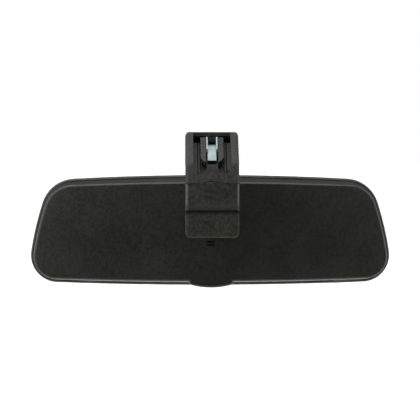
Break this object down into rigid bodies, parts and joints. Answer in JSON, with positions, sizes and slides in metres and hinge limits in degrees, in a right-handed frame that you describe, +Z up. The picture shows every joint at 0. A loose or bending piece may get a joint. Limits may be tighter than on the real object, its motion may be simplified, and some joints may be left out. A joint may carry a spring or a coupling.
{
  "type": "interior rearview mirror",
  "caption": "Interior rearview mirror with a dipping day and night lever, on a ball-jointed arm with a sliding windscreen foot.",
  "frame": {"origin": "middle of the sloping windscreen face of the foot", "axes": "+X along the mirror's length, +Y towards the driver (the glass side), +Z up"},
  "size_m": [0.2498, 0.0812, 0.1072],
  "materials": {
    "textured_plastic": "fine spark-eroded grain",
    "cover_plastic": "fine spark-eroded grain",
    "cap_plastic": "fine spark-eroded grain",
    "shoe_plastic": "satin moulded",
    "zinc_screw": "zinc plated",
    "spring_steel": "bright zinc plated",
    "keeper_plastic": "satin moulded",
    "black_screw": "black oxide",
    "stud_steel": "phosphated, greased",
    "nut_steel": "zinc plated",
    "washer_steel": "zinc plated",
    "seat_plastic": "natural acetal",
    "seat_cup_plastic": "natural acetal",
    "wave_steel": "spring steel",
    "clamp_steel": "zinc plated",
    "clamp_screw": "zinc plated",
    "carrier_plastic": "satin moulded",
    "shell_plastic": "very fine grain",
    "bezel_plastic": "satin",
    "mirror_glass": "polished",
    "mirror_silver": "reflective coat",
    "backing_pad": "closed-cell foam",
    "hinge_steel": "drawn wire",
    "clip_steel": "spring steel",
    "pin_steel": "drawn wire",
    "detent_steel": "spring steel",
    "lever_plastic": "satin moulded"
  },
  "bodies": {
    "arm": {"mount_foot": "textured_plastic", "arm_cover": "cover_plastic", "stud_cap": "cap_plastic", "mount_shoe": "shoe_plastic", "shoe_screws": "zinc_screw", "retaining_spring": "spring_steel", "spring_keeper": "keeper_plastic", "cover_screws": "black_screw", "ball_stud": "stud_steel", "stud_nut": "nut_steel", "stud_washer": "washer_steel"},
    "front_seat": {"front_seat": "seat_plastic"},
    "rear_seat": {"rear_seat": "seat_cup_plastic"},
    "carrier": {"wave_washer": "wave_steel", "socket_clamp": "clamp_steel", "clamp_screws": "clamp_screw", "toggle_carrier": "carrier_plastic"},
    "head": {"rear_shell": "shell_plastic", "bezel": "bezel_plastic", "mirror_glass": "mirror_glass", "mirror_silver": "mirror_silver", "backing_pad": "backing_pad", "hinge_pin": "hinge_steel", "hinge_clip": "clip_steel", "lever_pin": "pin_steel", "detent_spring": "detent_steel"},
    "lever": {"day_night_lever": "lever_plastic"}
  },
  "joints": [
    {"name": "ball_yaw", "type": "hinge", "parent": "arm", "child": "front_seat", "pos_m": [0, 0.03825, -0.04975], "axis": [0, 0, 1], "range_deg": [-18, 18]},
    {"name": "ball_pitch", "type": "hinge", "parent": "front_seat", "child": "rear_seat", "pos_m": [0, 0.03825, -0.04975], "axis": [1, 0, 0], "range_deg": [-12, 12]},
    {"name": "ball_roll", "type": "hinge", "parent": "rear_seat", "child": "carrier", "pos_m": [0, 0.03825, -0.04975], "axis": [0, 1, 0], "range_deg": [-10, 10]},
    {"name": "dip_tilt", "type": "hinge", "parent": "carrier", "child": "head", "pos_m": [0, 0.04275, -0.02975], "axis": [1, 0, 0], "range_deg": [-4.5, 0]},
    {"name": "lever_flip", "type": "hinge", "parent": "head", "child": "lever", "pos_m": [0, 0.04425, -0.08775], "axis": [1, 0, 0], "range_deg": [-60, 0]}
  ],
  "couplings": [
    {"joint": "lever_flip", "follows": "dip_tilt", "ratio": 13.333}
  ]
}
